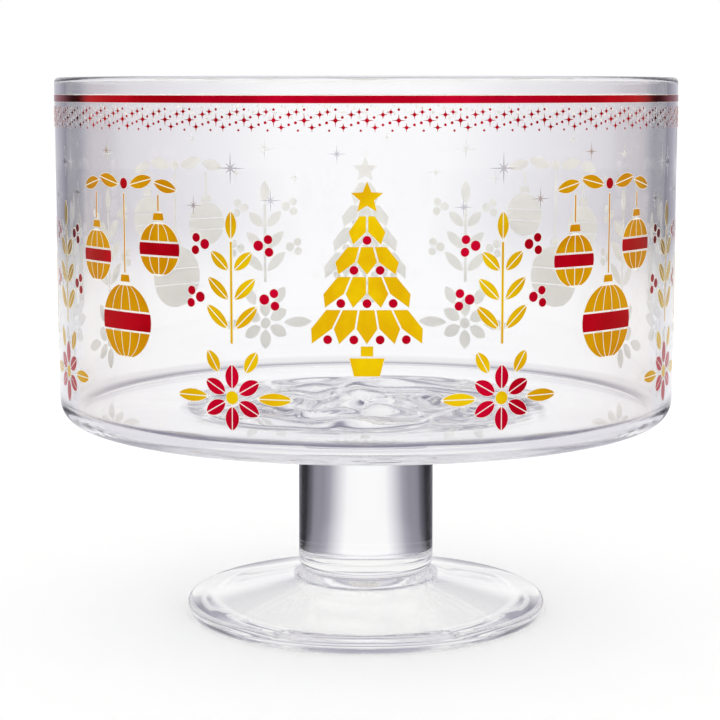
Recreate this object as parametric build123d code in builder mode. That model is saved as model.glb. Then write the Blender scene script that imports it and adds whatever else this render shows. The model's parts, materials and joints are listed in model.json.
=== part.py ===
import os
from math import cos, degrees, radians, sin, sqrt

from build123d import *

os.makedirs("parts", exist_ok=True)

# Bowl
bowl_radius = 107.7
overall_height = 189.0
base_level = 70.4
wall = 3.6
rim_bevel = 1.0
heel_round = 8.0
inner_heel_bevel = 3.2
floor_thickness = 4.2

# Stem, fused to the underside of the bowl and to the top of the foot
stem_radius = 24.0
stem_level = 16.6
stem_edge_bevel = 1.2

# Foot
foot_radius = 64.2
neck_height = 1.4
neck_flare = 3.2
neck_drop = 2.4
lip_height = 4.4
lip_top_bevel = 1.6
lip_bottom_bevel = 1.3
rest_inner_radius = 54.0
hollow_height = 7.5
hollow_slope = 33.0

# Foil films on the outside of the wall
film_clearance = 0.05
film_thickness = 0.15
film_gap = 0.3
stripe_drop = 5.8
stripe_width = 2.4
border_drop = 13.2
lozenge_count = 72
lozenge_width = 3.2
lozenge_height = 4.6

# Decoration, drawn in millimetres across the wall and above the underside of a bowl of this size
drawn_wall_height = 118.6
drawn_bowl_radius = 107.7
column_count = 8
tree_columns = (0, 4)
candle_columns = (2, 6)
bauble_columns = (1, 3, 5, 7)

# Sizes that follow from the ones above
wall_height = overall_height - base_level
scale_up = wall_height / drawn_wall_height
scale_across = bowl_radius / drawn_bowl_radius
film_radius = bowl_radius + film_clearance
seat_radius = stem_radius - stem_edge_bevel
inner_radius = bowl_radius - wall
floor_level = base_level + floor_thickness
column_step = 360.0 / column_count
columns = [column_step * column for column in range(column_count)]
gaps = [column_step * (column + 0.5) for column in range(column_count)]
front = -90.0


def film_plane(azimuth):
    """Upright plane that rests on the wall and faces outwards, with its Y along the height."""
    turn = radians(front + azimuth)
    outwards = (cos(turn), sin(turn), 0)
    place = (film_radius * outwards[0], film_radius * outwards[1], base_level)
    return Plane(origin=place, x_dir=(-outwards[1], outwards[0], 0), z_dir=outwards)


def middle_of(outline):
    """Middle of an outline across the wall."""
    across = [x for x, _ in outline]
    return (min(across) + max(across)) / 2


def film_planes(azimuths, outline):
    """For each column, the plane that touches the wall at the middle of an outline."""
    turn = degrees(middle_of(outline) * scale_across / film_radius)
    return [film_plane(azimuth + turn) for azimuth in azimuths]


def drawn(outline):
    """Points of an outline at the size of this bowl, measured from its middle."""
    middle = middle_of(outline)
    return [((x - middle) * scale_across, y * scale_up) for x, y in outline]


def leaf(x, y, length, width, turn):
    """Pointed leaf that starts at a point and runs the way it is turned."""
    ca = cos(radians(turn))
    sa = sin(radians(turn))
    outline = ((0.0, 0.0), (0.45 * length, -width / 2), (length, 0.0), (0.45 * length, width / 2))
    return [(x + a * ca - b * sa, y + a * sa + b * ca) for a, b in outline]


def box(x, low, high, low_width, high_width):
    """Upright four-sided piece."""
    return [
        (x - low_width / 2, low),
        (x + low_width / 2, low),
        (x + high_width / 2, high),
        (x - high_width / 2, high),
    ]


def dot(x, y, radius):
    """Six-sided spot."""
    turns = [radians(60.0 * k) for k in range(6)]
    return [(x + radius * cos(turn), y + radius * sin(turn)) for turn in turns]


def star(x, y, radius, inner, points):
    """Star with straight sides and one point upwards."""
    outline = []
    for k in range(2 * points):
        size = radius if k % 2 == 0 else inner
        angle = radians(90.0 + 180.0 * k / points)
        outline.append((x + size * cos(angle), y + size * sin(angle)))
    return outline


def bough(low, high, low_width, high_width, middle, count):
    """One of the boughs in a layer of a fir tree, with its tip downwards."""
    level = low + shoulder * (high - low)
    width = low_width + shoulder * (high_width - low_width)
    half_top = high_width / count / 2 - film_gap / 2
    half_low = width / count / 2 - film_gap / 2
    return [
        (low_width * middle, low),
        (width * middle + half_low, level),
        (high_width * middle + half_top, high),
        (high_width * middle - half_top, high),
        (width * middle - half_low, level),
    ]


def ball_strips(radius, count, level):
    """Left and right sides of the upright strips of a ball, kept inside its outline at a level."""
    edge = sqrt(radius ** 2 - level ** 2)
    width = 2 * radius / count
    strips = []
    for k in range(count):
        left = -radius + k * width + film_gap / 2
        strips.append((max(left, -edge), min(left + width - film_gap, edge)))
    return strips


def ball_cap(x, y, radius, low, left, right, side):
    """Strip of a ball from a level above or below its centre to its round edge."""
    across = (right, (left + 2 * right) / 3, (2 * left + right) / 3, left)
    arch = [(a, sqrt(max(radius ** 2 - a ** 2, 0.0))) for a in across]
    outline = [(left, low), (right, low)]
    outline += [(a, b) for a, b in arch if b > low + film_gap]
    return [(x + a, y + side * b) for a, b in outline]


def corner(section, x, y):
    """Vertex of a section that is nearest to a point."""
    return section.vertices().sort_by_distance((x, y, 0))[0]


# Bowl
with BuildPart() as bowl:
    with BuildSketch(Plane.XZ) as bowl_section:
        Polygon(
            (0, base_level),
            (bowl_radius, base_level),
            (bowl_radius, overall_height),
            (inner_radius, overall_height),
            (inner_radius, floor_level),
            (0, floor_level),
            align=None,
        )
        fillet(corner(bowl_section, bowl_radius, base_level), heel_round)
        chamfer(corner(bowl_section, inner_radius, floor_level), inner_heel_bevel)
        chamfer(corner(bowl_section, bowl_radius, overall_height), rim_bevel)
        chamfer(corner(bowl_section, inner_radius, overall_height), rim_bevel)
    revolve(axis=Axis.Z)
bowl.part.label = "bowl"
export_step(bowl.part, "parts/bowl.step")

# Stem
with BuildPart(Plane.XY.offset(stem_level)) as stem:
    Cylinder(
        stem_radius,
        base_level - stem_level,
        align=(Align.CENTER, Align.CENTER, Align.MIN),
    )
    chamfer(stem.edges().filter_by(GeomType.CIRCLE).sort_by(Axis.Z)[0], stem_edge_bevel)
stem.part.label = "stem"
export_step(stem.part, "parts/stem.step")

# Foot
with BuildPart() as foot:
    with BuildSketch(Plane.XZ) as foot_section:
        Polygon(
            (0, hollow_height),
            (0, stem_level),
            (seat_radius, stem_level),
            (seat_radius, stem_level - neck_height),
            (seat_radius + neck_flare, stem_level - neck_height - neck_drop),
            (foot_radius, lip_height),
            (foot_radius, 0),
            (rest_inner_radius, 0),
            (rest_inner_radius - hollow_slope, hollow_height),
            align=None,
        )
        chamfer(corner(foot_section, foot_radius, lip_height), lip_top_bevel)
        chamfer(corner(foot_section, foot_radius, 0), lip_bottom_bevel)
    revolve(axis=Axis.Z)
foot.part.label = "foot"
export_step(foot.part, "parts/foot.step")

# Red stripe
with BuildPart() as rim_stripe:
    with BuildSketch(Plane.XY.offset(overall_height - stripe_drop - stripe_width)):
        Circle(film_radius + film_thickness)
        Circle(film_radius, mode=Mode.SUBTRACT)
    extrude(amount=stripe_width)
rim_stripe.part.label = "rim_stripe"
export_step(rim_stripe.part, "parts/rim_stripe.step")

# Red lozenges under the stripe
with BuildPart() as border_lozenges:
    with BuildSketch(*[film_plane(360.0 * k / lozenge_count) for k in range(lozenge_count)]):
        with Locations((0, wall_height - border_drop)):
            Polygon(
                (0, -lozenge_height / 2),
                (lozenge_width / 2, 0),
                (0, lozenge_height / 2),
                (-lozenge_width / 2, 0),
            )
    extrude(amount=film_thickness)
border_lozenges.part.label = "border_lozenges"
export_step(border_lozenges.part, "parts/border_lozenges.step")

# Fir trees: lower and upper level of each layer, and its width there
tree_layers = (
    (38.3, 49.0, 42.0, 25.0),
    (49.3, 59.0, 34.0, 18.0),
    (59.3, 68.0, 26.0, 12.0),
    (68.3, 77.2, 17.0, 5.0),
)
bough_counts = (5, 4, 3, 2)
shoulder = 0.45
pot_low = 28.6
pot_high = 34.4
pot_low_width = 8.0
pot_high_width = 11.0
trunk_top = 38.0
trunk_width = 4.0
tree_star_level = 82.4
tree_star_radius = 5.4
tree_star_waist = 2.4
tree_dot_radius = 1.5
tree_dot_lift = 1.55
trees = [columns[k] for k in tree_columns]
tree_gold = [
    box(0, pot_low, pot_high, pot_low_width, pot_high_width),
    box(0, pot_high + film_gap, trunk_top, trunk_width, trunk_width),
    star(0, tree_star_level, tree_star_radius, tree_star_waist, 5),
]
tree_red = []
for (low, high, low_width, high_width), count in zip(tree_layers, bough_counts):
    for k in range(count):
        tree_gold.append(bough(low, high, low_width, high_width, (k + 0.5) / count - 0.5, count))
    for k in range(1, count):
        width = low_width + (high_width - low_width) * tree_dot_lift / (high - low)
        tree_red.append(dot(width * (k / count - 0.5), low + tree_dot_lift, tree_dot_radius))

with BuildPart() as fir_tree_foil:
    for outline in tree_gold:
        with BuildSketch(*film_planes(trees, outline)):
            Polygon(*drawn(outline), align=None)
    extrude(amount=film_thickness)
fir_tree_foil.part.label = "fir_tree_foil"
export_step(fir_tree_foil.part, "parts/fir_tree_foil.step")

with BuildPart() as fir_tree_baubles:
    for outline in tree_red:
        with BuildSketch(*film_planes(trees, outline)):
            Polygon(*drawn(outline), align=None)
    extrude(amount=film_thickness)
fir_tree_baubles.part.label = "fir_tree_baubles"
export_step(fir_tree_baubles.part, "parts/fir_tree_baubles.step")

# Hanging baubles: centre and radius, and the place, length, width and turn of the leaves above
balls = ((0, 42.0, 12.0), (-15.5, 62.0, 8.5), (15.5, 65.5, 8.5))
strip_counts = (3, 2, 2)
twig_leaves = ((2.6, 85.0, 11.0, 4.2, 12.0), (13.5, 86.2, 10.0, 4.0, -14.0))
knot_level = 85.4
knot_radius = 1.9
string_top = 82.5
string_width = 0.9
band_share = 0.26
cap_height = 2.5
cap_low_width = 5.0
cap_high_width = 4.0
bauble_sets = [columns[k] for k in bauble_columns]
bauble_gold = []
bauble_red = [dot(0, knot_level, knot_radius)]
for (x, y, radius), count in zip(balls, strip_counts):
    low = band_share * radius + film_gap / 2
    for left, right in ball_strips(radius, count, low):
        bauble_gold.append(ball_cap(x, y, radius, low, left, right, 1))
        bauble_gold.append(ball_cap(x, y, radius, low, left, right, -1))
    cap = y + radius + film_gap
    bauble_gold.append(box(x, cap, cap + cap_height, cap_low_width, cap_high_width))
    bauble_gold.append(box(x, cap + cap_height + film_gap, string_top, string_width, string_width))
    half_band = low - film_gap
    for left, right in ball_strips(radius, count, half_band):
        width = right - left
        bauble_red.append(box(x + (left + right) / 2, y - half_band, y + half_band, width, width))
for way in (1, -1):
    for x, y, length, width, turn in twig_leaves:
        bauble_gold.append(leaf(x * way, y, length * way, width, turn * way))

with BuildPart() as bauble_foil:
    for outline in bauble_gold:
        with BuildSketch(*film_planes(bauble_sets, outline)):
            Polygon(*drawn(outline), align=None)
    extrude(amount=film_thickness)
bauble_foil.part.label = "bauble_foil"
export_step(bauble_foil.part, "parts/bauble_foil.step")

with BuildPart() as bauble_bands:
    for outline in bauble_red:
        with BuildSketch(*film_planes(bauble_sets, outline)):
            Polygon(*drawn(outline), align=None)
    extrude(amount=film_thickness)
bauble_bands.part.label = "bauble_bands"
export_step(bauble_bands.part, "parts/bauble_bands.step")

# Candles: place and top level, and the place, length, width and turn of the leaves below
candles = ((-11.5, 59.0), (0, 66.5), (11.5, 59.0))
candle_width = 7.6
candle_foot = 38.6
flame_lift = 1.4
flame_length = 11.0
flame_width = 5.4
candle_berry_levels = (31.6, 27.2)
candle_berry_radius = 1.9
holder_leaves = ((2.8, 32.0, 15.0, 4.6, 3.0), (2.6, 29.8, 12.0, 4.4, -22.0))
holder_low = 34.6
holder_low_width = 24.0
holder_high_width = 34.0
holder_parts = 4
candle_sets = [columns[k] for k in candle_columns]
candle_gold = []
candle_red = [dot(0, y, candle_berry_radius) for y in candle_berry_levels]
for x, top in candles:
    candle_gold.append(box(x, candle_foot + film_gap, top, candle_width, candle_width))
    candle_red.append(leaf(x, top + flame_lift, flame_length, flame_width, 90))
for k in range(holder_parts):
    middle = (k + 0.5) / holder_parts - 0.5
    half_low = holder_low_width / holder_parts / 2 - film_gap / 2
    half_high = holder_high_width / holder_parts / 2 - film_gap / 2
    candle_gold.append([
        (holder_low_width * middle - half_low, holder_low),
        (holder_low_width * middle + half_low, holder_low),
        (holder_high_width * middle + half_high, candle_foot),
        (holder_high_width * middle - half_high, candle_foot),
    ])
for way in (1, -1):
    for x, y, length, width, turn in holder_leaves:
        candle_gold.append(leaf(x * way, y, length * way, width, turn * way))

with BuildPart() as candle_foil:
    for outline in candle_gold:
        with BuildSketch(*film_planes(candle_sets, outline)):
            Polygon(*drawn(outline), align=None)
    extrude(amount=film_thickness)
candle_foil.part.label = "candle_foil"
export_step(candle_foil.part, "parts/candle_foil.step")

with BuildPart() as candle_flames:
    for outline in candle_red:
        with BuildSketch(*film_planes(candle_sets, outline)):
            Polygon(*drawn(outline), align=None)
    extrude(amount=film_thickness)
candle_flames.part.label = "candle_flames"
export_step(candle_flames.part, "parts/candle_flames.step")

# Upright sprays: level and length of each pair of leaves
pairs = ((42.0, 11.0), (51.0, 10.0), (60.0, 8.5))
pair_turn = 44.0
spray_leaf_width = 4.0
spray_tip_length = 9.0
berry_reach = 2.8
berry_radius = 1.8
twig_foot = 37.5
twig_top = 69.0
twig_width = 1.2
leaf_start = twig_width / 2 + film_gap
spray_gold = [
    box(0, twig_foot, twig_top, twig_width, twig_width),
    leaf(0, twig_top + film_gap, spray_tip_length, spray_leaf_width, 90),
]
for y, length in pairs:
    for way in (1, -1):
        spray_gold.append(leaf(leaf_start * way, y, length * way, spray_leaf_width, pair_turn * way))
spray_red = []
for y, length in pairs[::2]:
    along = length + berry_reach
    for way in (1, -1):
        x = leaf_start + along * cos(radians(pair_turn))
        spray_red.append(dot(x * way, y + along * sin(radians(pair_turn)), berry_radius))

with BuildPart() as spray_foil:
    for outline in spray_gold:
        with BuildSketch(*film_planes(gaps, outline)):
            Polygon(*drawn(outline), align=None)
    extrude(amount=film_thickness)
spray_foil.part.label = "spray_foil"
export_step(spray_foil.part, "parts/spray_foil.step")

with BuildPart() as spray_berries:
    for outline in spray_red:
        with BuildSketch(*film_planes(gaps, outline)):
            Polygon(*drawn(outline), align=None)
    extrude(amount=film_thickness)
spray_berries.part.label = "spray_berries"
export_step(spray_berries.part, "parts/spray_berries.step")

# Low flowers: way, start and length of each leaf
flower_level = 21.0
petal_count = 6
petal_start = 2.5
petal_length = 8.0
petal_width = 4.8
flower_leaf_width = 4.2
flower_leaves = ((0, 8.0, 12.0), (180, 8.0, 12.0), (60, 8.8, 8.0), (120, 8.8, 8.0))
flower_gold = [dot(0, flower_level, petal_start - film_gap)]
for turn, start, length in flower_leaves:
    x = start * cos(radians(turn))
    y = flower_level + start * sin(radians(turn))
    flower_gold.append(leaf(x, y, length, flower_leaf_width, turn))
flower_red = []
for k in range(petal_count):
    turn = 90 + 360.0 * k / petal_count
    x = petal_start * cos(radians(turn))
    y = flower_level + petal_start * sin(radians(turn))
    flower_red.append(leaf(x, y, petal_length, petal_width, turn))

with BuildPart() as flower_petals:
    for outline in flower_red:
        with BuildSketch(*film_planes(gaps, outline)):
            Polygon(*drawn(outline), align=None)
    extrude(amount=film_thickness)
flower_petals.part.label = "flower_petals"
export_step(flower_petals.part, "parts/flower_petals.step")

with BuildPart() as flower_foil:
    for outline in flower_gold:
        with BuildSketch(*film_planes(gaps, outline)):
            Polygon(*drawn(outline), align=None)
    extrude(amount=film_thickness)
flower_foil.part.label = "flower_foil"
export_step(flower_foil.part, "parts/flower_foil.step")

# Silver stars: place and size, above the sprays and beside the columns
gap_stars = ((0, 91.0, 5.0), (-13.0, 79.5, 3.2), (13.0, 81.5, 3.6))
column_stars = ((-9.0, 95.5, 3.0),)
star_waist = 0.36
with BuildPart() as silver_stars:
    for places, stars in ((gaps, gap_stars), (columns, column_stars)):
        for x, y, radius in stars:
            outline = star(x, y, radius, star_waist * radius, 4)
            with BuildSketch(*film_planes(places, outline)):
                Polygon(*drawn(outline), align=None)
    extrude(amount=film_thickness)
silver_stars.part.label = "silver_stars"
export_step(silver_stars.part, "parts/silver_stars.step")
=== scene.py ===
"""Looks of a footed glass trifle bowl with foil decoration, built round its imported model."""

import json
import logging
import math
from abc import ABC, abstractmethod
from collections.abc import Mapping, Sequence
from dataclasses import dataclass, field
from enum import Enum
from typing import ClassVar

import bmesh
import bpy
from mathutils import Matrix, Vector

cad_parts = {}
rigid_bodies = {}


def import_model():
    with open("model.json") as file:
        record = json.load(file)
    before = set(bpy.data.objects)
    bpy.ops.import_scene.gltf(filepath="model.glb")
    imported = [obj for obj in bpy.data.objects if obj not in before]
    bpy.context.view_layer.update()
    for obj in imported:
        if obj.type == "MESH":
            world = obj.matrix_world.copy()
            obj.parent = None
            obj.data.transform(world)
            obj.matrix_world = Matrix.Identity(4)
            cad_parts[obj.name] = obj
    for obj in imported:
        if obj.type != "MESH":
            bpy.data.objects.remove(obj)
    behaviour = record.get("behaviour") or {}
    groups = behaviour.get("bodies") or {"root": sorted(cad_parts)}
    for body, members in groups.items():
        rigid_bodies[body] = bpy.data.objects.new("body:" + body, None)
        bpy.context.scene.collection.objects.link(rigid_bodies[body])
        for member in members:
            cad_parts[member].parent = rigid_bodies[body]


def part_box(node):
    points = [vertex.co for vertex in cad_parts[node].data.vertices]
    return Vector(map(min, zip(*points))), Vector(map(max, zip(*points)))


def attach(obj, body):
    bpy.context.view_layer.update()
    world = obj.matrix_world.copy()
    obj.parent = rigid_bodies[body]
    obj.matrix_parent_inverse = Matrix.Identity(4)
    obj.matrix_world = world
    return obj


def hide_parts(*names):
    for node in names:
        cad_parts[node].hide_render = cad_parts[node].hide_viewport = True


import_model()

LOG = logging.getLogger("trifle_bowl")
ROOT = "root"
MM = 0.001
SHARP_ANGLE = math.radians(35)
SIDES = 240
LEVEL_MATCH = 0.01 * MM
NEAR_ZERO = 1e-7

Point = tuple[float, float]
Outline = list[Point]
Span = tuple[float, float]
Triple = tuple[float, float, float]
Quad = tuple[float, float, float, float]
Leaves = tuple[tuple[float, float, float, float, float], ...]
Colour = tuple[float, float, float]
Rgba = tuple[float, float, float, float]
Levels = tuple[Point, ...]
Socket = bpy.types.NodeSocket

WHITE: Rgba = (1.0, 1.0, 1.0, 1.0)
FRONT_TURN = -90.0


class Slot(Enum):
    """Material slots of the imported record."""

    GLASS = "clear_glass"
    RED = "red_foil"
    GOLD = "gold_foil"
    SILVER = "silver_foil"


# Node trees


@dataclass
class NodeBench:
    """Adds nodes to one tree.

    Attributes:
        tree: Tree that the nodes go in.
    """

    # Places of the colours on a Mix node, whose sockets share their names with other types
    MIX_FIRST: ClassVar[int] = 6
    MIX_SECOND: ClassVar[int] = 7
    MIX_RESULT: ClassVar[int] = 2

    tree: bpy.types.NodeTree

    def feed(self, node: bpy.types.Node, given: Mapping[str | int, object]) -> None:
        """Links sockets to the inputs of a node and sets constants on them.

        Args:
            node: Node that takes the inputs.
            given: Sockets and constants, by the name or place of the input.
        """
        for name, value in given.items():
            if isinstance(value, bpy.types.NodeSocket):
                self.tree.links.new(value, node.inputs[name])
            else:
                node.inputs[name].default_value = value

    def add(self, kind: str, given: Mapping[str | int, object] | None = None) -> bpy.types.Node:
        """Adds a node.

        Args:
            kind: Type of the node.
            given: Sockets and constants for its inputs.

        Returns:
            The node.
        """
        node = self.tree.nodes.new(kind)
        self.feed(node, given or {})
        return node

    def math(self, operation: str, first: Socket | float, second: Socket | float | None = None) -> Socket:
        """Adds a math node.

        Args:
            operation: Operation of the node.
            first: Socket or number.
            second: Socket or number, where the operation takes two.

        Returns:
            Its output.
        """
        node = self.add("ShaderNodeMath", {0: first} if second is None else {0: first, 1: second})
        node.operation = operation
        return node.outputs[0]

    def object_place(self) -> Socket:
        """Adds the place of a point on its own object."""
        return self.add("ShaderNodeTexCoord").outputs["Object"]

    def noise(self, place: Socket, scale: float, detail: float) -> Socket:
        """Adds a noise pattern.

        Args:
            place: Place that the pattern follows.
            scale: Scale of the pattern.
            detail: Number of its finer layers.

        Returns:
            The pattern, from 0 to 1.
        """
        given = {"Vector": place, "Scale": scale, "Detail": detail}
        return self.add("ShaderNodeTexNoise", given).outputs["Fac"]

    def bump(self, height: Socket, strength: float, depth: float) -> Socket:
        """Adds a fine relief.

        Args:
            height: Pattern of the relief.
            strength: Share of the relief that shows.
            depth: Depth of the relief in metres.

        Returns:
            The normal that it gives.
        """
        given = {"Height": height, "Strength": strength, "Distance": depth}
        return self.add("ShaderNodeBump", given).outputs["Normal"]

    def ramp(self, value: Socket, stops: Sequence[tuple[float, Rgba]]) -> Socket:
        """Adds a colour ramp.

        Args:
            value: Socket that drives the ramp.
            stops: Positions and colours.

        Returns:
            Its colour.
        """
        node = self.add("ShaderNodeValToRGB", {"Fac": value})
        elements = node.color_ramp.elements
        while len(elements) < len(stops):
            elements.new(0.5)
        for element, (position, colour) in zip(elements, stops):
            element.position = position
            element.color = colour
        return node.outputs["Color"]

    def blend(self, value: Socket, span: Span, first: Socket | Rgba, second: Socket | Rgba) -> Socket:
        """Adds a soft change from one colour to another.

        Args:
            value: Socket that drives the change.
            span: Values where the change starts and ends.
            first: Colour before the change.
            second: Colour after it.

        Returns:
            The blended colour.
        """
        given = {"Value": value, "From Min": span[0], "From Max": span[1]}
        share = self.add("ShaderNodeMapRange", given)
        share.interpolation_type = "SMOOTHSTEP"
        mix = self.add("ShaderNodeMix")
        mix.data_type = "RGBA"
        self.feed(mix, {"Factor": share.outputs["Result"], self.MIX_FIRST: first, self.MIX_SECOND: second})
        return mix.outputs[self.MIX_RESULT]


# Finishes


def new_material(name: str) -> tuple[bpy.types.Material, NodeBench, bpy.types.Node]:
    """Makes a node material with a Principled shader.

    Args:
        name: Name of the material.

    Returns:
        The material, a bench for its tree and its Principled node.
    """
    material = bpy.data.materials.new(name)
    material.use_nodes = True
    return material, NodeBench(material.node_tree), material.node_tree.nodes["Principled BSDF"]


@dataclass(frozen=True)
class GlassFinish:
    """Clear polished glass with the faint waviness of a pressed and fire-polished piece.

    Attributes:
        tint: Linear colour of what the glass lets through.
        ior: Index of refraction.
        wave_scale: Scale of the waviness.
        wave_detail: Number of its finer layers.
        wave_strength: Share of it that shows.
        wave_depth: Its depth in metres.
    """

    tint: Rgba = (0.985, 0.985, 0.992, 1.0)
    ior: float = 1.5
    wave_scale: float = 28.0
    wave_detail: float = 1.5
    wave_strength: float = 0.05
    wave_depth: float = 1.5 * MM

    def material(self) -> bpy.types.Material:
        """Makes the glass material."""
        material, bench, shader = new_material(Slot.GLASS.value)
        waves = bench.noise(bench.object_place(), self.wave_scale, self.wave_detail)
        bench.feed(shader, {
            "Base Color": self.tint,
            "Roughness": 0.0,
            "IOR": self.ior,
            "Transmission Weight": 1.0,
            "Normal": bench.bump(waves, self.wave_strength, self.wave_depth),
        })
        return material


class SeamFinish:
    """Inside face of a fused seam, where two pieces of glass are one to the light."""

    def material(self) -> bpy.types.Material:
        """Makes a fully clear material."""
        material, bench, shader = new_material("fused_seam")
        clear = bench.add("ShaderNodeBsdfTransparent")
        bench.feed(bench.tree.nodes["Material Output"], {"Surface": clear.outputs["BSDF"]})
        bench.tree.nodes.remove(shader)
        return material


@dataclass(frozen=True)
class FoilFinish:
    """Metal foil with soft colour patches, a fine grain and uneven gloss.

    Attributes:
        slot: Record slot that the foil stands for.
        colour: Linear colour of the metal.
        shade: Linear colour of its slightly darker patches.
        roughness: Lowest roughness of the foil.
        roughness_range: How much rougher the grain makes it.
        patch_scale: Scale of the patches.
        patch_detail: Number of their finer layers.
        patch_span: Pattern values between which the shade turns to the full colour.
        grain_scale: Scale of the grain along each axis.
        grain_detail: Number of its finer layers.
        grain_strength: Share of the grain's relief that shows.
        grain_depth: Depth of the relief in metres.
    """

    slot: Slot
    colour: Colour
    shade: Colour
    roughness: float
    roughness_range: float = 0.14
    patch_scale: float = 70.0
    patch_detail: float = 3.0
    patch_span: Span = (0.36, 0.62)
    grain_scale: Triple = (900.0, 900.0, 7000.0)
    grain_detail: float = 2.0
    grain_strength: float = 0.12
    grain_depth: float = 0.1 * MM

    def material(self) -> bpy.types.Material:
        """Makes the foil material.

        Returns:
            The material, named for its slot.
        """
        material, bench, shader = new_material(self.slot.value)
        place = bench.object_place()
        patches = bench.noise(place, self.patch_scale, self.patch_detail)
        start, end = self.patch_span
        tint = bench.ramp(patches, ((start, (*self.shade, 1.0)), (end, (*self.colour, 1.0))))
        stretch = bench.add("ShaderNodeMapping", {"Vector": place, "Scale": self.grain_scale})
        grain = bench.noise(stretch.outputs["Vector"], 1.0, self.grain_detail)
        dullest = self.roughness + self.roughness_range
        given = {"Value": grain, "To Min": self.roughness, "To Max": dullest}
        gloss = bench.add("ShaderNodeMapRange", given)
        bench.feed(shader, {
            "Metallic": 1.0,
            "Base Color": tint,
            "Roughness": gloss.outputs["Result"],
            "Normal": bench.bump(grain, self.grain_strength, self.grain_depth),
        })
        return material


FOILS = (
    FoilFinish(Slot.RED, (0.62, 0.002, 0.028), (0.47, 0.001, 0.014), 0.08),
    FoilFinish(Slot.GOLD, (0.90, 0.61, 0.003), (0.80, 0.46, 0.003), 0.13),
    FoilFinish(Slot.SILVER, (0.68, 0.68, 0.74), (0.58, 0.58, 0.65), 0.16),
)


@dataclass(frozen=True)
class UnderPrintFinish:
    """White print under the foil, which also shows from inside the bowl.

    Attributes:
        dull: Linear colour of its duller specks.
        clean: Linear colour of the rest.
        roughness: Roughness of the print.
        speck_scale: Scale of the specks.
        speck_detail: Number of their finer layers.
    """

    dull: Rgba = (0.90, 0.88, 0.80, 1.0)
    clean: Rgba = (0.95, 0.93, 0.86, 1.0)
    roughness: float = 0.55
    speck_scale: float = 260.0
    speck_detail: float = 4.0

    def material(self) -> bpy.types.Material:
        """Makes the print material."""
        material, bench, shader = new_material("white_under_print")
        specks = bench.noise(bench.object_place(), self.speck_scale, self.speck_detail)
        tint = bench.ramp(specks, ((0.0, self.dull), (1.0, self.clean)))
        bench.feed(shader, {"Base Color": tint, "Roughness": self.roughness})
        return material


# Glass


def rounded_profile(corners: Sequence[Triple], turn_step: float) -> Outline:
    """Profile through corners, each rounded by its own radius.

    Args:
        corners: Radius, level and rounding of each corner, from axis to axis.
        turn_step: Angle between the points of a rounding, in radians.

    Returns:
        Points of the profile.
    """
    straight = math.radians(179.9)
    points = [corners[0][:2]]
    for before, here, after in zip(corners, corners[1:], corners[2:]):
        corner = Vector(here[:2])
        back = (Vector(before[:2]) - corner).normalized()
        ahead = (Vector(after[:2]) - corner).normalized()
        opening = back.angle(ahead)
        if here[2] == 0.0 or opening > straight:
            points.append(here[:2])
            continue
        middle = corner + (back + ahead).normalized() * here[2] / math.sin(opening / 2)
        start = corner + back * here[2] / math.tan(opening / 2) - middle
        end = corner + ahead * here[2] / math.tan(opening / 2) - middle
        steps = max(2, math.ceil((math.pi - opening) / turn_step))
        for k in range(steps + 1):
            share = start.slerp(end, k / steps) * here[2]
            points.append(tuple(middle + share))
    points.append(corners[-1][:2])
    return points


def divided(points: Outline, step: float) -> Outline:
    """Adds points to the long straight runs of a profile.

    Args:
        points: Points of the profile.
        step: Longest run that is left whole.

    Returns:
        The finer profile.
    """
    finer = [points[0]]
    for (r0, z0), (r1, z1) in zip(points, points[1:]):
        parts = max(1, math.ceil(math.hypot(r1 - r0, z1 - z0) / step))
        for k in range(1, parts + 1):
            finer.append((r0 + (r1 - r0) * k / parts, z0 + (z1 - z0) * k / parts))
    return finer


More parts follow.
